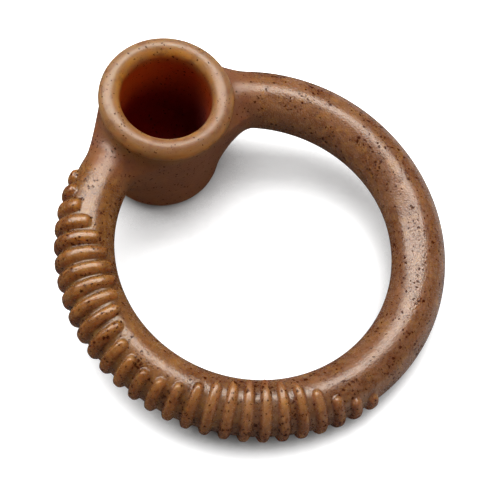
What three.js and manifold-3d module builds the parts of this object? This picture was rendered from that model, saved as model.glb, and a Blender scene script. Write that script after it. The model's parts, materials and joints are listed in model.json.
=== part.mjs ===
// A dog chew ring, moulded from solid nylon: a round bar bent into a ring, a treat cup standing across the
// bar, and a run of rounded ribs that wraps the outside of the bar along one side.
// Millimetres, +Z up. The chew lies as it comes to rest on a floor: on the foot of its cup and on the far
// side of its ring, so that the ring slopes down from the cup. +Y points from the ring's middle to the cup.
import * as THREE from "three";
import { mergeVertices } from "three/addons/utils/BufferGeometryUtils.js";
import Module from "manifold-3d";

// The ring's bar
const RING_RADIUS = 50; // middle of the ring to the middle of the bar
const BAR_DIAMETER = 16.2;
const BAR_SWELL = 1.4; // how much thicker the smooth arc is where it leaves the cup
const SWELL_REACH = 65; // along the middle of the bar, until that has faded

// The treat cup. Its heights are measured from the ring's plane.
const CUP_HEIGHT = 16.8; // up to the top of the rim
const CUP_DEPTH = 25.5; // down to the foot
const RIM_BEAD_RADIUS = 3.2; // the rounded lip round the cup's mouth
const BORE_RADIUS = 14; // inside the lip
const BORE_DRAFT = 0.7; // how much narrower the bore is at its floor
const BORE_ROUND = 4; // between the bore and its floor
const FLOOR_THICKNESS = 6;
const RIM_OVERHANG = 0.8; // how far the lip stands out from the wall below it
const WALL_DRAFT = 0.3; // how much narrower the wall is at the foot
const FOOT_ROUND = 5;

// The shoulders, where the bar grows out of the cup's wall
const SHOULDER_FILLET = 15; // of the fillet along the wall, where the lip and the foot leave room
const RIBBED_REACH = 8.3; // of the fillet along the bar on the ribs' side, less where the wall cuts it short
const SMOOTH_REACH = 11; // and on the smooth side
const SHOULDER_RUN = 0.8; // plain bar between the fillet and the shoulder's end
const FILLET_HANDLE = 0.52; // of the way to the corner: 0.55 would be a round fillet, and less is fuller

// The chewing ribs
const RIB_COUNT = 27;
const RIB_PITCH = 4.87; // along the middle of the bar
const RIB_GROOVE = 1.6; // plain bar between two ribs, along the middle of the bar
const RIB_HEIGHT = 1.6;
const RIB_END = 1.9; // length of a rib's rounded end
const RIB_TOP = 3; // 2 would give a rib a parabola's top, and more makes it flatter
const RIB_FOOT = 1.3; // over 1 a rib's sides run out softly into the bar
// How far the ribs reach round the bar, above and below its outermost line. Along the run their ends draw a
// wave: they start short, wrap nearly the whole bar, draw back in the middle, wrap it again and end short.
const WRAP_ENDS = THREE.MathUtils.degToRad(34);
const WRAP_CRESTS = THREE.MathUtils.degToRad(140);
const WRAP_MIDDLE = THREE.MathUtils.degToRad(72);
const WRAP_CREST_PLACE = 0.52; // of the way from the middle rib to either end
const WRAP_RUN_OUT = 1.4; // over 1 the ribs shorten sooner on their way to the ends

// Fineness of the faceted surfaces
const BAR_SIDES = 24;
const CUP_SIDES = 48;
const ARC_STEPS = 6; // in each rounded corner of the cup
const RIB_STEPS = 5; // across a rib
const FILLET_STEPS = 5;
const BAR_STEP = 4.2; // along the smooth arc

// What follows from those sizes
const barRadius = BAR_DIAMETER / 2;
const rimRadius = BORE_RADIUS + RIM_BEAD_RADIUS; // to the middle of the lip's bead
const rimLevel = CUP_HEIGHT - RIM_BEAD_RADIUS;
const wallRadius = rimRadius + RIM_BEAD_RADIUS - RIM_OVERHANG;
const neck = Math.acos((wallRadius - rimRadius) / RIM_BEAD_RADIUS); // where the lip's bead leaves the wall
const floorLevel = FLOOR_THICKNESS - CUP_DEPTH;
const ribPitch = RIB_PITCH / RING_RADIUS; // in radians round the ring, as are all bearings below
const ribHalfWidth = (RIB_PITCH - RIB_GROOVE) / 2 / RING_RADIUS;
const ribEnd = RIB_END / barRadius; // in radians round the bar
const cupAxis = new THREE.Vector3(0, RING_RADIUS, 0);

const wasm = await Module();
wasm.setup();

const nylon = new THREE.MeshStandardMaterial({ color: 0x93653f, roughness: 0.42, metalness: 0 });

// A point on or round the bar: bearing is the turn round the ring from the cup's axis, counter-clockwise from
// above, and wrap is the turn round the bar, from its outermost line over the top.
function barPoint(bearing, wrap, radius) {
  const reach = RING_RADIUS + radius * Math.cos(wrap);
  return new THREE.Vector3(-reach * Math.sin(bearing), reach * Math.cos(bearing), radius * Math.sin(wrap));
}

// The wraps of the bar's section corners.
const sectionWraps = Array.from({ length: BAR_SIDES }, (_, side) => (side / BAR_SIDES) * 2 * Math.PI);

// A closed solid skinned over sections of equally many points, in order of bearing, and closed flat at both
// ends. Each patch between four points is split along its shorter diagonal.
function skin(sections) {
  const around = sections[0].length;
  const last = sections.length - 1;
  const points = sections.flat();
  const middles = [0, last].map((s) =>
    sections[s].reduce((sum, p) => sum.add(p), new THREE.Vector3()).divideScalar(around),
  );
  const faces = [];
  for (let side = 0; side < around; side++) {
    const next = (side + 1) % around;
    for (let s = 0; s < last; s++) {
      const [a, b] = [s * around + side, s * around + next];
      const [c, d] = [a + around, b + around];
      const split = points[b].distanceTo(points[c]) <= points[a].distanceTo(points[d]);
      faces.push(...(split ? [a, c, b, b, c, d] : [a, c, d, a, d, b]));
    }
    faces.push(points.length, side, next);
    faces.push(points.length + 1, last * around + next, last * around + side);
  }
  return new THREE.BufferGeometry().setFromPoints([...points, ...middles]).setIndex(faces);
}

// A geometry as a solid that can be joined and cut.
function solid(geometry) {
  const bare = new THREE.BufferGeometry().setAttribute("position", geometry.getAttribute("position"));
  const merged = mergeVertices(bare.setIndex(geometry.index), 1e-4);
  const vertProperties = merged.getAttribute("position").array;
  const triVerts = new Uint32Array(merged.index.array);
  return new wasm.Manifold(new wasm.Mesh({ numProp: 3, vertProperties, triVerts }));
}

// A joined or cut solid as a geometry.
function geometryOf(made) {
  const { vertProperties, triVerts } = made.getMesh();
  return new THREE.BufferGeometry()
    .setAttribute("position", new THREE.BufferAttribute(vertProperties, 3))
    .setIndex(new THREE.BufferAttribute(triVerts, 1));
}

// Points of a round corner in the cup's profile, from one angle to another about its middle.
function corner(x, y, radius, from, to) {
  return new THREE.EllipseCurve(x, y, radius, radius, from, to, to < from).getPoints(ARC_STEPS);
}

// The cup's wall radius at a height.
function wallAt(z) {
  return wallRadius - WALL_DRAFT * THREE.MathUtils.clamp((rimLevel - z) / (rimLevel + CUP_DEPTH), 0, 1);
}

// The cup itself, turned from its profile: foot, wall, lip, bore and floor.
function cupBody() {
  const footRadius = wallAt(-CUP_DEPTH);
  const boreFloorRadius = BORE_RADIUS - BORE_DRAFT;
  const profile = [
    new THREE.Vector2(0, -CUP_DEPTH),
    ...corner(footRadius - FOOT_ROUND, FOOT_ROUND - CUP_DEPTH, FOOT_ROUND, -Math.PI / 2, 0),
    ...corner(rimRadius, rimLevel, RIM_BEAD_RADIUS, -neck, Math.PI / 2),
    ...corner(rimRadius, rimLevel, RIM_BEAD_RADIUS, Math.PI / 2, Math.PI).slice(1),
    ...corner(boreFloorRadius - BORE_ROUND, floorLevel + BORE_ROUND, BORE_ROUND, 0, -Math.PI / 2),
    new THREE.Vector2(0, floorLevel),
  ];
  return new THREE.LatheGeometry(profile, CUP_SIDES).rotateX(Math.PI / 2).translate(...cupAxis.toArray());
}

// The bar's radius at a shoulder, +1 towards the ribs and -1 towards the smooth arc, as are all sides below.
function shoulderRadius(side) {
  return side > 0 ? barRadius : barRadius + BAR_SWELL / 2;
}

// How far the fillet spreads over the cup's wall at a wrap: it ends in the lip and at the foot's round edge.
function filletAt(wrap, side) {
  const rise = Math.sin(wrap);
  const height = shoulderRadius(side) * rise;
  const room = rise > 0 ? rimLevel - height : CUP_DEPTH - FOOT_ROUND + height;
  return Math.min(SHOULDER_FILLET, room / Math.abs(rise));
}

// The bearing at which the bar's surface line at a wrap meets the cup's wall.
function wallBearing(wrap, side) {
  const reach = RING_RADIUS + shoulderRadius(side) * Math.cos(wrap);
  const wall = wallAt(shoulderRadius(side) * Math.sin(wrap));
  return Math.acos((reach ** 2 + RING_RADIUS ** 2 - wall ** 2) / (2 * reach * RING_RADIUS));
}

// The bearing at which the shoulder's fillet leaves the bar, at a wrap.
function filletBearing(wrap, side) {
  const fullReach = side > 0 ? RIBBED_REACH : SMOOTH_REACH;
  const reach = fullReach * Math.sqrt(filletAt(wrap, side) / SHOULDER_FILLET);
  return wallBearing(wrap, side) + reach / RING_RADIUS;
}

// The bearing at which a shoulder ends, counted from the cup towards its side.
function shoulderEnd(side) {
  return Math.max(...sectionWraps.map((wrap) => filletBearing(wrap, side))) + SHOULDER_RUN / RING_RADIUS;
}

const ribsStart = shoulderEnd(1);

// The point on the cup's wall where the shoulder's fillet ends, a little under the wall's surface.
function wallPoint(wrap, side) {
  const sunk = 0.3;
  const meets = barPoint(side * wallBearing(wrap, side), wrap, shoulderRadius(side));
  const fillet = filletAt(wrap, side);
  const [across, up] = [fillet * Math.cos(wrap), fillet * Math.sin(wrap)];
  const turn = Math.atan2(meets.y - RING_RADIUS, meets.x) - (side * across) / wallAt(meets.z);
  const z = meets.z + up;
  const radius = wallAt(z) - sunk;
  return new THREE.Vector3(radius * Math.cos(turn), RING_RADIUS + radius * Math.sin(turn), z);
}

// A shoulder on one side of the cup. Every line of the bar's surface runs to its fillet and bends there into
// the cup's wall. Its inner end stops inside the wall.
function shoulder(side) {
  const radius = shoulderRadius(side);
  const lines = sectionWraps.map((wrap) => {
    const leaves = barPoint(side * filletBearing(wrap, side), wrap, radius);
    const meets = barPoint(side * wallBearing(wrap, side), wrap, radius);
    const ends = wallPoint(wrap, side);
    const handles = [ends, leaves].map((end) => end.clone().lerp(meets, FILLET_HANDLE));
    const bend = new THREE.CubicBezierCurve3(ends, ...handles, leaves);
    return [...bend.getPoints(FILLET_STEPS), barPoint(side * shoulderEnd(side), wrap, radius)];
  });
  const sections = lines[0].map((_, s) => lines.map((line) => line[s]));
  const inside = sections[0].map(() => cupAxis.clone());
  const whole = side > 0 ? [inside, ...sections] : [inside, ...sections].reverse();
  const middleOfWall = (BORE_RADIUS + wallRadius) / 2;
  const hollow = new THREE.CylinderGeometry(middleOfWall, middleOfWall, 2 * CUP_DEPTH, CUP_SIDES)
    .rotateX(Math.PI / 2)
    .translate(...cupAxis.toArray());
  return solid(skin(whole)).subtract(solid(hollow));
}

function treatCup() {
  return geometryOf(solid(cupBody()).add(shoulder(1)).add(shoulder(-1)));
}

// The bearing of a rib's middle.
function ribBearing(rib) {
  return ribsStart + (rib + 0.5) * ribPitch;
}

const ribsEnd = ribBearing(RIB_COUNT - 0.5);

// How far round the bar a rib reaches: a cosine wave between the crests, and a power of a quarter wave down
// to each end.
function ribWrap(rib) {
  const place = Math.abs((2 * rib) / (RIB_COUNT - 1) - 1);
  if (place < WRAP_CREST_PLACE) {
    const rise = (1 - Math.cos((Math.PI * place) / WRAP_CREST_PLACE)) / 2;
    return WRAP_MIDDLE + (WRAP_CRESTS - WRAP_MIDDLE) * rise;
  }
  const beyond = Math.min(1, (place - WRAP_CREST_PLACE) / (1 - WRAP_CREST_PLACE));
  const fall = Math.max(0, Math.cos((Math.PI / 2) * beyond)) ** WRAP_RUN_OUT;
  return WRAP_ENDS + (WRAP_CRESTS - WRAP_ENDS) * fall;
}

// How far a rib stands out of the bar, at a place across it (from -1 to 1) and a wrap. Its ends are rounded
// as its sides are.
function ribHeight(rib, across, wrap) {
  const round = Math.abs(Math.atan2(Math.sin(wrap), Math.cos(wrap)));
  const past = Math.max(0, round - Math.max(0, ribWrap(rib) - ribEnd)) / ribEnd;
  const fromSpine = Math.min(1, Math.hypot(across, past));
  return RIB_HEIGHT * (1 - fromSpine ** RIB_TOP) ** RIB_FOOT;
}

// A plain section of the bar at a bearing.
function barSection(bearing, radius) {
  return sectionWraps.map((wrap) => barPoint(bearing, wrap, radius));
}

function ribbedArc() {
  const sections = [barSection(ribsStart, barRadius)];
  for (let rib = 0; rib < RIB_COUNT; rib++) {
    for (let step = 0; step <= RIB_STEPS; step++) {
      const across = (2 * step) / RIB_STEPS - 1;
      const bearing = ribBearing(rib) + across * ribHalfWidth;
      const radiusAt = (wrap) => barRadius + ribHeight(rib, across, wrap);
      sections.push(sectionWraps.map((wrap) => barPoint(bearing, wrap, radiusAt(wrap))));
    }
  }
  return skin([...sections, barSection(ribsEnd, barRadius)]);
}

// The smooth arc swells towards the cup, by a smooth step along its last stretch.
function smoothArc() {
  const end = 2 * Math.PI - shoulderEnd(-1);
  const steps = Math.ceil(((end - ribsEnd) * RING_RADIUS) / BAR_STEP);
  const sections = Array.from({ length: steps + 1 }, (_, i) => {
    const bearing = THREE.MathUtils.lerp(ribsEnd, end, i / steps);
    const swelling = THREE.MathUtils.smoothstep(bearing, end - SWELL_REACH / RING_RADIUS, end);
    return barSection(bearing, THREE.MathUtils.lerp(barRadius, shoulderRadius(-1), swelling));
  });
  return skin(sections);
}

// The lowest level of some geometries once the ring slopes up towards the cup by an angle.
function lowest(geometries, slope) {
  const [sin, cos] = [Math.sin(slope), Math.cos(slope)];
  let level = Infinity;
  for (const geometry of geometries) {
    const at = geometry.getAttribute("position");
    for (let i = 0; i < at.count; i++) {
      level = Math.min(level, at.getY(i) * sin + at.getZ(i) * cos);
    }
  }
  return level;
}

// The slope at which the cup's foot and the ring stand on one level, found by halving.
function restingSlope(cup, arcs) {
  let [low, high] = [0, Math.PI / 4];
  for (let i = 0; i < 40; i++) {
    const half = (low + high) / 2;
    if (lowest([cup], half) < lowest(arcs, half)) {
      low = half;
    } else {
      high = half;
    }
  }
  return low;
}

const shapes = { treat_cup: treatCup(), ribbed_arc: ribbedArc(), smooth_arc: smoothArc() };

const moulding = new THREE.Group();
for (const [name, geometry] of Object.entries(shapes)) {
  const mesh = new THREE.Mesh(geometry, nylon.clone());
  mesh.name = name;
  moulding.add(mesh);
}
moulding.rotation.x = restingSlope(shapes.treat_cup, [shapes.ribbed_arc, shapes.smooth_arc]);

// The origin is on the floor, under the middle of the chew's box.
const box = new THREE.Box3().setFromObject(moulding, true);
const middle = box.getCenter(new THREE.Vector3());
moulding.position.set(-middle.x, -middle.y, -box.min.z);

const chewRing = new THREE.Group();
chewRing.add(moulding);

export default chewRing;
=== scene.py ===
import json

import bmesh
import bpy
import numpy as np
from mathutils import Matrix, Vector


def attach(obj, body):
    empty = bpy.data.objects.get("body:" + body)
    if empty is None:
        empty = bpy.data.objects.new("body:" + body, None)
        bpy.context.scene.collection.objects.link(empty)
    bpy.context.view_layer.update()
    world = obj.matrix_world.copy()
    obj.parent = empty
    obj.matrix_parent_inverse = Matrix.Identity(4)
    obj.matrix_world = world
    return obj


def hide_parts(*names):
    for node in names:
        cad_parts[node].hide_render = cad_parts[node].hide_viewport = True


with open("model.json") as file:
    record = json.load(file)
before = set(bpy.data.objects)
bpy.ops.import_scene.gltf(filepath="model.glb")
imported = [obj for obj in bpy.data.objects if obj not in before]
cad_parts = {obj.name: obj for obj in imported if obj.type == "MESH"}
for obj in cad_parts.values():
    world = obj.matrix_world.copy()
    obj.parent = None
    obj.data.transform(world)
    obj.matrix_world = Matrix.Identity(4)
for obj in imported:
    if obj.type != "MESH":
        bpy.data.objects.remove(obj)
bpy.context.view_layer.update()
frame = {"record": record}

# The treat cup
# A blind cup that stands across the ring, with a rounded lip and a rounded foot. Cup, bar and ribs are one
# moulding of solid nylon, so each section gives its stretch of one skin, closed into one piece further down.
RING_RADIUS = 0.050  # middle of the ring to the middle of its bar
CUP_HEIGHT = 0.0168  # ring's plane to the top of the lip
CUP_DEPTH = 0.0255  # ring's plane to the foot
LIP_RADIUS = 0.0032
BORE_RADIUS = 0.0140
BORE_DRAFT = 0.0007
BORE_ROUND = 0.0040
FLOOR_THICKNESS = 0.0060
LIP_OVERHANG = 0.0008
NECK_ROUND = 0.0008
WALL_DRAFT = 0.0003
FOOT_ROUND = 0.0050
TOP_LINES = 44  # lines of the skin that end at the lip, on either half of the cup
SIDE_LINES = 20
FOOT_LINES = 36
NECK_STEPS = 5
LIP_STEPS = 40
BORE_STEPS = 24
CORNER_STEPS = 12
CUP_FLOOR_STEPS = 9
FOOT_STEPS = 10

lip_middle = BORE_RADIUS + LIP_RADIUS
lip_level = CUP_HEIGHT - LIP_RADIUS
wall_radius = lip_middle + LIP_RADIUS - LIP_OVERHANG
foot_level = FOOT_ROUND - CUP_DEPTH  # where the foot's round edge starts
floor_level = FLOOR_THICKNESS - CUP_DEPTH
neck_aside = wall_radius + NECK_ROUND - lip_middle
neck_level = lip_level - np.sqrt((LIP_RADIUS + NECK_ROUND) ** 2 - neck_aside**2)
neck_turn = np.degrees(np.arctan2(lip_level - neck_level, neck_aside))


def cup_point(turn, radius, height):
    """Points about the cup's axis: out by the radius at the turn, and up by the height."""
    x = radius * np.cos(turn)
    y = RING_RADIUS + radius * np.sin(turn)
    return np.stack(np.broadcast_arrays(x, y, height), -1)


def wall_at(height):
    """The wall's radius: full at the lip's middle, and less by the draft at the foot."""
    down = np.clip((lip_level - height) / (lip_level + CUP_DEPTH), 0, 1)
    return wall_radius - WALL_DRAFT * down


def arc(middle, radius, start, end, steps):
    """A round stretch of a profile, in equal steps from one angle to another, in degrees."""
    turn = np.radians(np.linspace(start, end, steps + 1))
    return np.stack((middle[0] + radius * np.cos(turn), middle[1] + radius * np.sin(turn)), -1)


def straight(start, end, steps):
    """A straight stretch of a profile, in equal steps and without its two ends."""
    share = np.linspace(0, 1, steps + 1)[1:-1, None]
    return np.array(start) * (1 - share) + np.array(end) * share


def turned(profile, columns):
    """A profile of radius and height, turned about the cup's axis in equal steps from the ring's far side."""
    turn = np.pi / 2 + np.arange(columns) * 2 * np.pi / columns
    return cup_point(turn, profile[:, :1], profile[:, 1:])


neck = arc((wall_radius + NECK_ROUND, neck_level), NECK_ROUND, 180, 180 - neck_turn, NECK_STEPS)
bead = arc((lip_middle, lip_level), LIP_RADIUS, -neck_turn, 180, LIP_STEPS)
bore_corner_middle = (BORE_RADIUS - BORE_DRAFT - BORE_ROUND, floor_level + BORE_ROUND)
bore_corner = arc(bore_corner_middle, BORE_ROUND, 0, -90, CORNER_STEPS)
bore = straight(bead[-1], bore_corner[0], BORE_STEPS)
bore_floor = straight(bore_corner[-1], (0, floor_level), CUP_FLOOR_STEPS)
inside = np.concatenate((neck, bead[1:], bore, bore_corner, bore_floor, [(0, floor_level)]))

foot_edge = arc((wall_at(-CUP_DEPTH) - FOOT_ROUND, foot_level), FOOT_ROUND, 0, -90, CORNER_STEPS)
foot_face = straight(foot_edge[-1], (0, -CUP_DEPTH), FOOT_STEPS)
outside = np.concatenate((foot_edge, foot_face, [(0, -CUP_DEPTH)]))

lip_and_bore = turned(inside, 2 * TOP_LINES)
foot = turned(outside, 2 * FOOT_LINES)

# The shoulders
# On either side the bar grows out of the cup's wall through a wide fillet, which runs up to the lip and
# down to the foot. The skin's lines run along the bar, bend in the fillet and spread over the cup's wall.
BAR_RADIUS = 0.0081
BAR_SWELL = 0.0007  # added to the smooth bar's radius where it leaves the cup
SHOULDER_FILLET = 0.0150  # of the fillet along the wall, where lip and foot leave room
RIBBED_REACH = 0.0083  # of the fillet along the bar on the ribs' side, less where the wall cuts it short
SMOOTH_REACH = 0.0110  # and on the smooth side
SHOULDER_RUN = 0.0008
FILLET_HANDLE = 0.52  # of the way to the corner: 0.55 would be a round fillet, and less is fuller
FILLET_CLEAR = 0.0003  # left of the wall between the fillet and the neck or the foot
FILLET_STEPS = 16
WALL_STEPS = 12
LEAST_RISE = 1e-6  # keeps a level line from being divided by its rise

bar_lines = TOP_LINES + 2 * SIDE_LINES + FOOT_LINES
wraps = np.arange(bar_lines) * 2 * np.pi / bar_lines
rise = np.sin(wraps)


def fillet_lengths(radius):
    """How far the fillet of a bar of a radius spreads over the wall, in each line: as far as the lip and the
    foot leave room."""
    room_above = (neck_level - FILLET_CLEAR - radius * rise) / np.maximum(rise, LEAST_RISE)
    room_below = (radius * rise - foot_level - FILLET_CLEAR) / np.maximum(-rise, LEAST_RISE)
    return np.minimum(SHOULDER_FILLET, np.where(rise > 0, room_above, room_below))


def wall_bearings(radius):
    """The bearings at which the lines of a bar of a radius would meet the wall: the angle at the ring's
    middle in the triangle with the cup's axis."""
    reach = RING_RADIUS + radius * np.cos(wraps)
    wall = wall_at(radius * rise)
    return np.arccos((reach**2 + RING_RADIUS**2 - wall**2) / (2 * reach * RING_RADIUS))


def fillet_bearings(radius, reach):
    """The bearings at which the lines of a bar of a radius bend into the fillet: past the wall by the reach,
    times the root of the share of its full spread that the fillet has on the wall."""
    share = np.sqrt(fillet_lengths(radius) / SHOULDER_FILLET)
    return wall_bearings(radius) + reach * share / RING_RADIUS


ribbed_fillets = fillet_bearings(BAR_RADIUS, RIBBED_REACH)
smooth_fillets = fillet_bearings(BAR_RADIUS + BAR_SWELL, SMOOTH_REACH)
ribs_start = ribbed_fillets.max() + SHOULDER_RUN / RING_RADIUS
smooth_end = 2 * np.pi - smooth_fillets.max() - SHOULDER_RUN / RING_RADIUS


def bar_point(bearing, wrap, radius):
    """Points round the bar: out from the ring's middle by its radius plus radius x cos(wrap), at the bearing
    counter-clockwise from the cup's axis, and up by radius x sin(wrap)."""
    reach = RING_RADIUS + radius * np.cos(wrap)
    parts = (-reach * np.sin(bearing), reach * np.cos(bearing), radius * np.sin(wrap))
    return np.stack(np.broadcast_arrays(*parts), -1)


def shoulder(side, radius, leave_bearings):
    """One shoulder, +1 towards the ribs and -1 towards the smooth bar, from the edges of its half of the wall
    to a plain bar of a radius: on the wall each line runs straight from the half's edge to the fillet, and
    the fillet is a cubic curve that leaves along the wall and arrives along the bar at the bearings given."""
    fillets = fillet_lengths(radius)
    meets = bar_point(side * wall_bearings(radius), wraps, radius)
    turn = np.arctan2(meets[:, 1] - RING_RADIUS, meets[:, 0])
    turn = np.where(side > 0, np.mod(turn, 2 * np.pi), turn)
    end_turn = turn - side * fillets * np.cos(wraps) / wall_at(meets[:, 2])
    end_level = meets[:, 2] + fillets * rise
    ends = cup_point(end_turn, wall_at(end_level), end_level)

    low = foot_level
    high = neck_level
    first = -round(SIDE_LINES * low / (low - high))
    corners = first + np.cumsum([0, SIDE_LINES, TOP_LINES, SIDE_LINES, FOOT_LINES, SIDE_LINES])
    half = np.radians([90, 90, 270, 270, 90, 90])
    line = np.arange(bar_lines)
    edge_turn = np.interp(line, corners, half if side > 0 else np.pi - half)
    edge_level = np.interp(line, corners, [low, high, high, low, low, high])
    share = np.linspace(0, 1, WALL_STEPS + 1)[:-1, None]
    wall_turn = edge_turn + (end_turn - edge_turn) * share
    wall_level = edge_level + (end_level - edge_level) * share
    wall = cup_point(wall_turn, wall_at(wall_level), wall_level)

    bearing = side * leave_bearings
    leaves = bar_point(bearing, wraps, radius)
    along_bar = side * np.stack((np.cos(bearing), np.sin(bearing), 0 * bearing), -1)
    along_wall = np.stack(
        (side * np.cos(wraps) * np.sin(end_turn), -side * np.cos(wraps) * np.cos(end_turn), rise), -1
    )
    bar_length = np.linalg.norm(meets - leaves, axis=-1)[:, None]
    wall_handle = ends - FILLET_HANDLE * fillets[:, None] * along_wall
    bar_handle = leaves + FILLET_HANDLE * bar_length * along_bar
    t = np.linspace(0, 1, FILLET_STEPS + 1)[:, None, None]
    bend = (1 - t) ** 3 * ends + 3 * (1 - t) ** 2 * t * wall_handle
    bend = bend + 3 * (1 - t) * t**2 * bar_handle + t**3 * leaves
    return np.concatenate((wall, bend[:-1]))


# The bar and its chewing ribs
# A round bar bent into a ring. Along one side rounded ribs wrap its outside, and their ends draw a wave: they
# start short, wrap nearly the whole bar, draw back in the middle, wrap it again and end short. The first ribs
# stand close together, and the grooves between the later ones are wider.
SWELL_REACH = 0.065  # along the middle of the bar, until its swelling has faded
RIB_COUNT = 27
RIB_PITCH = 0.00487  # along the middle of the bar
RIB_GROOVES = (0.0007, 0.0016)  # between the first ribs, and between the last
GROOVES_GROW = (6, 12)  # the ribs between which the grooves grow
RIB_HEIGHT = 0.0016
RIB_END = 0.0019
RIB_TOP = 3.4  # 2 would give a rib a parabola's top, and more makes it flatter
RIB_FOOT = 1.3  # over 1 a rib's sides run out softly into the bar
WRAP_ENDS = np.radians(34)
WRAP_CRESTS = np.radians(140)
WRAP_MIDDLE = np.radians(72)
WRAP_CREST_PLACE = 0.52  # of the way from the middle rib to either end
WRAP_RUN_OUT = 1.4  # over 1 the ribs shorten sooner on their way to the ends
RIB_STEPS = 20
BAR_STEP = 0.0012
RUN_STEPS = 5

rib_pitch = RIB_PITCH / RING_RADIUS  # in radians round the ring
rib_end = RIB_END / BAR_RADIUS  # in radians round the bar
ribs_end = ribs_start + RIB_COUNT * rib_pitch


def rib_wrap(rib):
    """How far round the bar a rib reaches: a cosine wave between the two crests, and a quarter of a wave,
    raised to a power, from each crest down to the end of the run."""
    place = np.abs(2 * rib / (RIB_COUNT - 1) - 1)
    between = (1 - np.cos(np.pi * place / WRAP_CREST_PLACE)) / 2
    past_crest = np.maximum(0, place - WRAP_CREST_PLACE) / (1 - WRAP_CREST_PLACE)
    beyond = np.maximum(0, np.cos(np.pi / 2 * past_crest)) ** WRAP_RUN_OUT
    inner = WRAP_MIDDLE + (WRAP_CRESTS - WRAP_MIDDLE) * between
    outer = WRAP_ENDS + (WRAP_CRESTS - WRAP_ENDS) * beyond
    return np.where(place < WRAP_CREST_PLACE, inner, outer)


def rib_height(bearing, wrap):
    """How far the nearest rib stands out of the bar: 1 less a power of the distance from the rib's spine, in
    half widths across it and in end lengths past its end, raised to a power that softens its foot."""
    rib = np.clip(np.floor((bearing - ribs_start) / rib_pitch), 0, RIB_COUNT - 1)
    half_width = (RIB_PITCH - np.interp(rib, GROOVES_GROW, RIB_GROOVES)) / 2
    across = (bearing - ribs_start - (rib + 0.5) * rib_pitch) * RING_RADIUS / half_width
    round_bar = np.abs(np.arctan2(np.sin(wrap), np.cos(wrap)))
    past = np.maximum(0, round_bar - np.maximum(0, rib_wrap(rib) - rib_end)) / rib_end
    from_spine = np.minimum(1, np.hypot(across, past))
    return RIB_HEIGHT * (1 - from_spine**RIB_TOP) ** RIB_FOOT


def swelling(bearing):
    """How much the bar's radius grows: by a smooth step along the stretch before the smooth shoulder."""
    share = np.clip(1 - (smooth_end - bearing) * RING_RADIUS / SWELL_REACH, 0, 1)
    return BAR_SWELL * share**2 * (3 - 2 * share)


run = np.linspace(0, 1, RUN_STEPS + 1)[:, None]
run_out = (ribbed_fillets + (ribs_start - ribbed_fillets) * run)[:-1]
run_in = (smooth_end + (2 * np.pi - smooth_fillets - smooth_end) * run)[1:]
ribbed = np.linspace(ribs_start, ribs_end, RIB_COUNT * RIB_STEPS + 1)
smooth_steps = round((smooth_end - ribs_end) * RING_RADIUS / BAR_STEP)
smooth = np.linspace(ribs_end, smooth_end, smooth_steps + 1)[1:]
plain = np.concatenate((ribbed, smooth))[:, None] * np.ones(bar_lines)
bearings = np.concatenate((run_out, plain, run_in))
bar = bar_point(bearings, wraps, BAR_RADIUS + swelling(bearings) + rib_height(bearings, wraps))
ribbed_shoulder = shoulder(1, BAR_RADIUS, ribbed_fillets)
smooth_shoulder = shoulder(-1, BAR_RADIUS + BAR_SWELL, smooth_fillets)
ring = np.concatenate((ribbed_shoulder, bar, smooth_shoulder[::-1]))

# The moulding
# The stretches share their edges, and are joined there into one closed skin, as the real chew comes out of
# its mould in one shot. It lies on its cup's foot and on the far side of its ring.
FOOT_MARK = 0.005  # how far the frame's mark on the foot stands beside the cup's axis
JOIN = 5e-6

foot_mark = frame["record"]["mounts"][0]
cup_up = -np.array(foot_mark["axis"])
aside = np.array((1.0, 0.0, 0.0))
onward = np.cross(cup_up, aside)
cup_foot = np.array(foot_mark["pos_m"]) - FOOT_MARK * aside
ring_middle = cup_foot + CUP_DEPTH * cup_up - RING_RADIUS * onward


def joined_skin(name, stretches):
    """One mesh from grids of points whose columns close: a quad between every four neighbours, with the
    points that the grids share merged and the faces turned outwards."""
    points = []
    faces = []
    count = 0
    for stretch in stretches:
        rows, columns = stretch.shape[:2]
        row, column = np.mgrid[: rows - 1, :columns]
        here = count + row * columns + column
        beside = count + row * columns + (column + 1) % columns
        faces.append(np.stack((here, beside, beside + columns, here + columns), -1).reshape(-1, 4))
        points.append(stretch.reshape(-1, 3))
        count += rows * columns
    mesh = bpy.data.meshes.new(name)
    mesh.from_pydata(np.concatenate(points).tolist(), [], np.concatenate(faces).tolist())
    joined = bmesh.new()
    joined.from_mesh(mesh)
    bmesh.ops.remove_doubles(joined, verts=joined.verts, dist=JOIN)
    bmesh.ops.recalc_face_normals(joined, faces=joined.faces)
    joined.to_mesh(mesh)
    joined.free()
    mesh.polygons.foreach_set("use_smooth", np.ones(len(mesh.polygons), bool))
    return mesh


axes = np.array((aside, onward, cup_up))
chew_mesh = joined_skin("chew_moulding", [ring_middle + s @ axes for s in (ring, lip_and_bore, foot)])
chew = bpy.data.objects.new("chew_moulding", chew_mesh)
bpy.context.scene.collection.objects.link(chew)
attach(chew, "root")
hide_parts("treat_cup", "ribbed_arc", "smooth_arc")

# The flecked nylon
# Nylon ground up with its flavouring: tan, mottled in clouds, peppered with dark matte flecks, and satin from
# the mould with a fine grain. It is rosier on the smooth side and the cup, and cleaner on the cup. Light
# strays through it. Painted light also makes the lip pale, more at its back, with honey-coloured edges, and
# painted shade and glow make the inside of the cup a deep red.
TAN = (0.280, 0.124, 0.033, 1)
ROSY = (0.265, 0.127, 0.064, 1)  # tan of the smooth side
ROSE = (0.24, 0.083, 0.040, 1)  # tan of the cup's wall
BROWN = (0.145, 0.048, 0.016, 1)
AMBER = (0.36, 0.180, 0.058, 1)
SAND = (0.075, 0.020, 0.004, 1)
FLECK = (0.046, 0.008, 0.001, 1)
# Painted light: the lip's paleness and the honey glow of its edges stand in for light that strays through the
# thin nylon.
PALE_LIGHT = (0.285, 0.192, 0.100, 1)  # of the lip
HONEY_GLOW = (0.47, 0.205, 0.025, 1)  # of the lip's two edges
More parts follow.
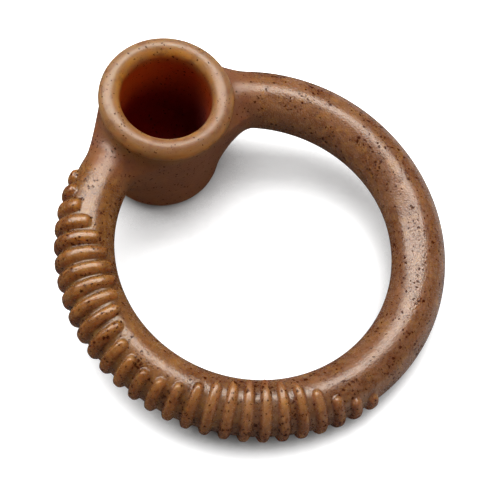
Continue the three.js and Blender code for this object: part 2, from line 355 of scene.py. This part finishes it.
# Painted shade and glow inside the cup: dim at the front, glowing at the back, deep red at the floor.
DIM_SHADE = (0.27, 0.030, 0.002, 1)  # inside the cup, where only light that has crossed the nylon arrives
GLOW = (0.42, 0.056, 0.004, 1)  # and at its back
DEEP_SHADE = (0.13, 0.001, 0.0003, 1)  # and at its floor

SMOOTH_WARD = (0.8, -0.6, 0.0)  # from the ribs towards the smooth side
ROSY_FROM = (-0.05, 0.02)  # how far that way the tan turns rosy
CUP_EDGES = (0.033, 0.022)  # how far from the cup's axis the bar's nylon turns into the cup's
LIT_FROM = (-0.008, 0.014)  # from the front of the cup to its back, which the light reaches first
PALE_LEVELS = (0.0330, 0.0380)  # heights over the foot between which the wall turns into the lip
HONEY_INSIDE = (0.0170, 0.0145)  # how far from the cup's axis the lip turns into its edges
HONEY_OUTSIDE = (0.0185, 0.0203)
BORE_EDGE = 0.0008  # width of the lip's change into the bore
GLOW_LEVELS = (0.0415, 0.0355)
DEEP_LEVELS = (0.0350, 0.0150)

# Each kind of cloud has its size in millimetres, its detail, and the noise between which it fades in.
PATCHES = (7.0, 3.0, 0.38, 0.62)
MOTTLE = (1.3, 3.0, 0.36, 0.66)
SAND_GRAINS = (0.5, 3.0, 0.46, 0.68)
CROWDS = (8.0, 4.0, 0.42, 0.60)
AMBER_CLOUDS = (3.1, 2.0, 0.50, 0.75)
STAINS = (3.0, 4.0, 0.52, 0.66)
GRAIN = (0.50, 1.0)
WAVES = (2.4, 1.0)
STIR = 1.25

# Each kind of speck has its cell in millimetres, the share of cells that hold one, and its largest radius.
DUST_SPECKS = (0.75, 0.80, 0.33)
FLECK_SPECKS = (1.2, 0.90, 0.56)
DUST_SIZES = (0.35, 0.65, 0.10)  # share of that radius everywhere, more in a crowd, and less on the cup
FLECK_SIZES = (0.60, 0.40, 0.08)

# How far each colour goes. A pair is for the front of the cup and for its back.
BROWN_MOTTLE = 0.45
BROWN_PATCHES = 0.15
BROWN_CROWDS = 0.25
AMBER_SHARE = 0.5
ROSE_SHARE = 0.6
SAND_SHARES = (0.25, 0.50, 0.15)  # everywhere, more in a crowd, and less on the cup
CUP_CLEAN = 0.7  # share of the crowds that the cup is without
# Shares of the painted light on the lip and of the painted glow of its edges.
PALE_SHARES = (0.42, 0.60)
HONEY_INSIDE_SHARES = (0.35, 1.0)
HONEY_OUTSIDE_SHARES = (0.6, 0.2)
HONEY_SHARE = 0.45  # between the patches, and twice that in them
STAIN_SHARE = 0.45
DUST_TINT = 0.4
DUST_MATTE = 0.5
FLECK_MATTE = 0.85

NYLON_IOR = 1.53
NYLON_GLOSS = 0.74
NYLON_SHEEN = (1.0, 0.92, 0.82, 1)  # tint of its reflections
NYLON_DEPTH = 0.010  # how far red light strays under the surface
NYLON_SPREAD = (1.0, 0.60, 0.22)  # and green and blue light, as shares of that
NYLON_ROUGHNESS = 0.20
GRAIN_ROUGHNESS = 0.12
CUP_ROUGHNESS = 0.12
DEEP_ROUGHNESS = 0.6
RELIEF_HEIGHT = 0.00025
RELIEF_STRENGTH = 0.6
GRAIN_RELIEF = 0.55
WAVE_RELIEF = 0.22
FLECK_RELIEF = 0.05


class Wire:
    """A shader value between two nodes. Arithmetic on it adds Math nodes to its material."""

    def __init__(self, tree, socket=None):
        self.tree = tree
        self.socket = socket

    def node(self, kind, settings=None, inputs=None, output=0):
        """Any other node: its settings first, then the values or links of its sockets, and one output."""
        made = self.tree.nodes.new(kind)
        for name, value in (settings or {}).items():
            setattr(made, name, value)
        for name, value in (inputs or {}).items():
            if isinstance(value, Wire):
                self.tree.links.new(value.socket, made.inputs[name])
            else:
                made.inputs[name].default_value = value
        return Wire(self.tree, made.outputs[output] if made.outputs else None)

    def math(self, operation, first, second):
        """One Math node on two values."""
        return self.node("ShaderNodeMath", {"operation": operation}, {0: first, 1: second})

    def __add__(self, other):
        return self.math("ADD", self, other)

    def __radd__(self, other):
        return self.math("ADD", other, self)

    def __sub__(self, other):
        return self.math("SUBTRACT", self, other)

    def __rsub__(self, other):
        return self.math("SUBTRACT", other, self)

    def __mul__(self, other):
        return self.math("MULTIPLY", self, other)

    def __rmul__(self, other):
        return self.math("MULTIPLY", other, self)


def reach_along(vector, axis):
    """How far a vector goes along an axis: their dot product."""
    return vector.node("ShaderNodeVectorMath", {"operation": "DOT_PRODUCT"}, {0: vector, 1: axis}, "Value")


def length(vector):
    """The length of a vector."""
    return vector.node("ShaderNodeVectorMath", {"operation": "LENGTH"}, {0: vector}, "Value")


def fade(value, low, high):
    """0 up to low, 1 from high on, and a smooth step between; low may be the larger."""
    settings = {"interpolation_type": "SMOOTHSTEP"}
    return value.node("ShaderNodeMapRange", settings, {"Value": value, "From Min": low, "From Max": high})


def blended(factor, first, second):
    """One colour turning into another by a factor."""
    inputs = {"Factor": factor, 6: first, 7: second}
    return factor.node("ShaderNodeMix", {"data_type": "RGBA"}, inputs, 2)


def noise(place, size, detail=2.0):
    """Soft noise from about 0.3 to 0.7, with features of a size in the units of the place."""
    return place.node("ShaderNodeTexNoise", None, {"Vector": place, "Scale": 1 / size, "Detail": detail})


def clouds(place, size, detail, low, high):
    """Noise of a size that fades from 0 at low to 1 at high."""
    return fade(noise(place, size, detail), low, high)


def specks(place, cell, share, radius, amount):
    """A ragged fleck in a share of the cells of a size, up to an amount of a radius; its edge is soft over a
    tenth of a cell, and pushed in and out by noise of three tenths of a cell."""
    inputs = {"Vector": place, "Scale": 1 / cell}
    distance = place.node("ShaderNodeTexVoronoi", None, inputs, "Distance")
    colour = place.node("ShaderNodeTexVoronoi", None, inputs, "Color")
    draw = colour.node("ShaderNodeSeparateColor", None, {"Color": colour}, "Red")
    size = fade(draw, 1 - share, 1.0) * amount * (radius / cell)
    ragged = (noise(place, 0.3 * cell) - 0.5) * fade(size, 0, 0.1)
    return fade(size + ragged - distance, 0, 0.1)


nylon = bpy.data.materials.new("flecked_nylon")
nylon.use_nodes = True
nylon.node_tree.nodes.clear()
wire = Wire(nylon.node_tree)
place = wire.node("ShaderNodeTexCoord", output="Object")
millimetres = wire.node("ShaderNodeVectorMath", {"operation": "SCALE"}, {0: place, "Scale": 1000})
stir = wire.node("ShaderNodeTexNoise", None, {"Vector": millimetres, "Scale": 1 / STIR}, "Color")
stirred = wire.node("ShaderNodeVectorMath", {"operation": "ADD"}, {0: millimetres, 1: stir})

from_foot = wire.node("ShaderNodeVectorMath", {"operation": "SUBTRACT"}, {0: place, 1: tuple(cup_foot)})
across_axis = {0: from_foot, 1: tuple(cup_up)}
off_axis = length(wire.node("ShaderNodeVectorMath", {"operation": "CROSS_PRODUCT"}, across_axis))
height = reach_along(from_foot, tuple(cup_up))
cup = fade(off_axis, *CUP_EDGES)
lit = fade(reach_along(from_foot, tuple(onward)), *LIT_FROM)
lip = fade(height, *PALE_LEVELS)
in_bore = fade(off_axis, BORE_RADIUS + BORE_EDGE, BORE_RADIUS)
in_bore = in_bore * fade(height, 0.5 * FLOOR_THICKNESS, FLOOR_THICKNESS) * fade(height, *GLOW_LEVELS)
deep = in_bore * fade(height, *DEEP_LEVELS)

patches = clouds(millimetres, *PATCHES)
mottle = clouds(millimetres, *MOTTLE)
sand = clouds(millimetres, *SAND_GRAINS)
crowds = clouds(millimetres, *CROWDS)
cup_crowds = crowds * (1 - cup * CUP_CLEAN)


def strewn(everywhere, crowded, clean):
    """An amount that is larger in the crowds and smaller on the cup."""
    return everywhere + cup_crowds * crowded - cup * clean


def from_front(front, back):
    """An amount that goes from one at the front of the cup to another at its back."""
    return front + lit * (back - front)


dust = specks(stirred, *DUST_SPECKS, strewn(*DUST_SIZES))
flecks = specks(stirred, *FLECK_SPECKS, strewn(*FLECK_SIZES))
# Painted glow of the lip's edges: inside most at the back, outside most at the front, and in patches.
inner_edge = fade(off_axis, *HONEY_INSIDE) * from_front(*HONEY_INSIDE_SHARES)
outer_edge = fade(off_axis, *HONEY_OUTSIDE) * from_front(*HONEY_OUTSIDE_SHARES)
honey_light = lip * (inner_edge + outer_edge) * (HONEY_SHARE + patches * HONEY_SHARE)

body = blended(fade(reach_along(place, SMOOTH_WARD), *ROSY_FROM), TAN, ROSY)
body = blended(mottle * BROWN_MOTTLE + patches * BROWN_PATCHES + crowds * BROWN_CROWDS, body, BROWN)
body = blended(clouds(millimetres, *AMBER_CLOUDS) * AMBER_SHARE, body, AMBER)
body = blended(cup * ROSE_SHARE, body, ROSE)
body = blended(sand * strewn(*SAND_SHARES), body, SAND)
# Painted light on the lip, more at its back where the light falls first, then the painted honey glow of its
# edges.
body = blended(lip * from_front(*PALE_SHARES), body, PALE_LIGHT)
body = blended(honey_light, body, HONEY_GLOW)
body = blended(lip * clouds(stirred, *STAINS) * STAIN_SHARE, body, BROWN)
# Painted shade and glow inside the cup, dim in front, glowing at the back and deep red at the floor.
body = blended(in_bore, body, blended(lit, DIM_SHADE, GLOW))
body = blended(deep, body, DEEP_SHADE)
body = blended(dust * DUST_TINT + flecks, body, FLECK)

grain = noise(millimetres, *GRAIN)
relief = grain * GRAIN_RELIEF + noise(millimetres, *WAVES) * WAVE_RELIEF - flecks * FLECK_RELIEF
bump_inputs = {"Height": relief, "Strength": RELIEF_STRENGTH, "Distance": RELIEF_HEIGHT}
satin = wire.node(
    "ShaderNodeBsdfPrincipled",
    {"subsurface_method": "RANDOM_WALK"},
    {
        "Base Color": body,
        "Roughness": NYLON_ROUGHNESS + grain * GRAIN_ROUGHNESS + cup * CUP_ROUGHNESS + deep * DEEP_ROUGHNESS,
        "Normal": wire.node("ShaderNodeBump", None, bump_inputs),
        "IOR": NYLON_IOR,
        "Specular IOR Level": NYLON_GLOSS,
        "Specular Tint": NYLON_SHEEN,
        "Subsurface Weight": 1.0,
        "Subsurface Radius": NYLON_SPREAD,
        "Subsurface Scale": NYLON_DEPTH,
    },
)
matte = wire.node("ShaderNodeBsdfDiffuse", None, {"Color": FLECK})
matte_share = dust * DUST_MATTE + flecks * FLECK_MATTE
flecked = wire.node("ShaderNodeMixShader", None, {0: matte_share, 1: satin, 2: matte})
wire.node("ShaderNodeOutputMaterial", None, {"Surface": flecked})
chew_mesh.materials.append(nylon)

# The floor
# A pale studio sweep that takes the chew's soft shadow from the lamps. To the eye it also glows white, with
# painted shade that darkens the glow where the chew stands near. The nylon mirrors that glow as a painted
# reflection, bright beyond the smooth side and dim elsewhere.
FLOOR_REACH = 3.0
FLOOR_COLOUR = (0.45, 0.45, 0.45, 1)
FLOOR_LIT = (0.70, 0.70, 0.70, 1)  # as the eye sees it under the lamp
UNLIT = (0, 0, 0, 1)
# Painted reflection: the floor's glow, as the nylon mirrors it, is kept bright beyond the smooth side and
# dimmed elsewhere.
MIRRORED_BEYOND = 0.6  # how much of its white the floor keeps in a reflection, beyond the smooth side
MIRRORED_ELSEWHERE = 0.10
RING_EDGES = (0.055, 0.075)  # how far from the middle the one turns into the other
BEYOND_FROM = (0.03, 0.08)  # and how far towards the smooth side
# Painted shade: the floor's glow fades to black by the share of open sky left round each point.
SHADE_REACH = 0.10  # how far off a thing may be to shade the floor
SHADE_DARK = 0.345  # share of open sky that leaves the floor black, and one that leaves it white
SHADE_WHITE = 0.745
SHADE_SAMPLES = 16

floor_mesh = bpy.data.meshes.new("floor")
corners = [(-FLOOR_REACH, -FLOOR_REACH, 0), (FLOOR_REACH, -FLOOR_REACH, 0)]
corners += [(FLOOR_REACH, FLOOR_REACH, 0), (-FLOOR_REACH, FLOOR_REACH, 0)]
floor_mesh.from_pydata(corners, [], [(0, 1, 2, 3)])
floor = bpy.data.objects.new("floor", floor_mesh)
bpy.context.scene.collection.objects.link(floor)

paper = bpy.data.materials.new("pale_paper")
paper.use_nodes = True
paper.node_tree.nodes.clear()
wire = Wire(paper.node_tree)
by_eye = wire.node("ShaderNodeLightPath", output="Is Camera Ray")
mirrored = wire.node("ShaderNodeLightPath", output="Is Glossy Ray")
mirrored = mirrored + wire.node("ShaderNodeLightPath", output="Is Transmission Ray")
sky_settings = {"samples": SHADE_SAMPLES}
# Painted shade on the floor's glow, from the open sky round each point.
open_sky = wire.node("ShaderNodeAmbientOcclusion", sky_settings, {"Distance": SHADE_REACH}, "AO")
white = fade(open_sky, SHADE_DARK, SHADE_WHITE)
on_floor = wire.node("ShaderNodeTexCoord", output="Object")
beyond = fade(length(on_floor), *RING_EDGES) * fade(reach_along(on_floor, SMOOTH_WARD), *BEYOND_FROM)
# Painted reflection: reflections keep more of the glow beyond the smooth side than elsewhere.
mirrored_share = MIRRORED_ELSEWHERE + beyond * (MIRRORED_BEYOND - MIRRORED_ELSEWHERE)
glow = wire.node("ShaderNodeEmission", None, {"Strength": (by_eye + mirrored * mirrored_share) * white})
colour = blended(mirrored, blended(by_eye, FLOOR_COLOUR, FLOOR_LIT), UNLIT)
sheet = wire.node("ShaderNodeBsdfDiffuse", None, {"Color": colour})
both = wire.node("ShaderNodeAddShader", None, {0: sheet, 1: glow})
wire.node("ShaderNodeOutputMaterial", None, {"Surface": both})
floor_mesh.materials.append(paper)

# The lamps
# A soft box, a wide strip, hangs behind the chew and gives it its long highlights. A white card in front and
# dim white surroundings fill the shade.
KEY_PLACE = Vector((-0.02, 0.24, 0.56))
KEY_WIDTH = 1.10
KEY_DEPTH = 0.25
KEY_POWER = 6.5
CARD_PLACE = Vector((0.20, -0.40, 0.60))
CARD_WIDTH = 0.70
CARD_DEPTH = 0.70
CARD_POWER = 2.6
SURROUND = 0.10


def soft_box(name, place, width, depth, power, mirrored):
    """A lamp at a place, turned to the middle of the ring, with its width along the camera's picture. It
    isn't seen itself, and the chew mirrors it or not."""
    lamp = bpy.data.lights.new(name, "AREA")
    lamp.shape = "RECTANGLE"
    lamp.size = width
    lamp.size_y = depth
    lamp.energy = power
    box = bpy.data.objects.new(name, lamp)
    back = place.normalized()
    upward = back.cross(Vector(SMOOTH_WARD)).normalized()
    turn = Matrix((upward.cross(back), upward, back)).transposed()
    box.matrix_world = Matrix.Translation(place) @ turn.to_4x4()
    box.visible_camera = False
    box.visible_glossy = mirrored
    bpy.context.scene.collection.objects.link(box)


soft_box("soft_box", KEY_PLACE, KEY_WIDTH, KEY_DEPTH, KEY_POWER, True)
soft_box("white_card", CARD_PLACE, CARD_WIDTH, CARD_DEPTH, CARD_POWER, False)

world = bpy.data.worlds.new("white_surround")
world.use_nodes = True
world.node_tree.nodes.clear()
wire = Wire(world.node_tree)
seen = wire.node("ShaderNodeLightPath", output="Is Camera Ray")
spread = wire.node("ShaderNodeLightPath", output="Is Diffuse Ray")
level = spread * SURROUND + seen
surround = wire.node("ShaderNodeBackground", None, {"Color": (1, 1, 1, 1), "Strength": level})
wire.node("ShaderNodeOutputWorld", None, {"Surface": surround})
bpy.context.scene.world = world

# The camera
# It looks down at the chew from in front of the ribbed side, a little turned about its line of sight.
CAMERA_PLACE = Vector((-0.12978, -0.17796, 0.36892))
CAMERA_AIM = Vector((0.00572, 0.00243, 0.0))
CAMERA_ROLL = np.radians(1.88)
LENS = 98.83
SENSOR_WIDTH = 36.0
CLIP_START = 0.01
CLIP_END = 20.0

camera_data = bpy.data.cameras.new("camera")
camera_data.lens = LENS
camera_data.sensor_width = SENSOR_WIDTH
camera_data.clip_start = CLIP_START
camera_data.clip_end = CLIP_END
camera = bpy.data.objects.new("camera", camera_data)
look = (CAMERA_AIM - CAMERA_PLACE).to_track_quat("-Z", "Y").to_matrix().to_4x4()
camera.matrix_world = Matrix.Translation(CAMERA_PLACE) @ look @ Matrix.Rotation(CAMERA_ROLL, 4, "Z")
bpy.context.scene.collection.objects.link(camera)
bpy.context.scene.camera = camera
bpy.context.scene.view_settings.view_transform = "Standard"
